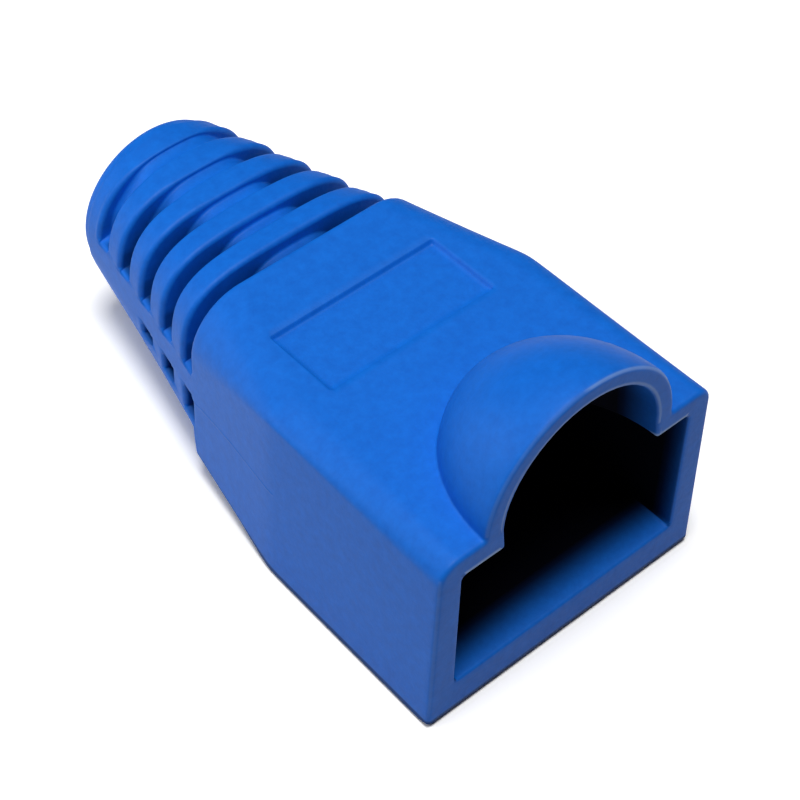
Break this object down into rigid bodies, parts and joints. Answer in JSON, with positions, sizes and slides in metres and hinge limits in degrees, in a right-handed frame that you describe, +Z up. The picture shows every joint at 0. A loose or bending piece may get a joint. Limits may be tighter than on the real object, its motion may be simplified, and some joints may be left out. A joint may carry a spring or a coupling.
{
  "type": "modular plug strain relief boot",
  "caption": "Soft moulded boot that slides over the back of a modular network plug, with a domed latch hood, a label recess and a ribbed tail that bends with the cable.",
  "frame": {"origin": "on the underside, in the middle of the boot's width and length", "axes": "+X across the boot, +Y along the cable from the plug mouth to the tail, +Z up from the flat underside to the hood"},
  "size_m": [0.0146, 0.0264, 0.0146],
  "materials": {
    "moulding": "satin"
  },
  "bodies": {
    "root": {"boot": "moulding"}
  },
  "joints": []
}
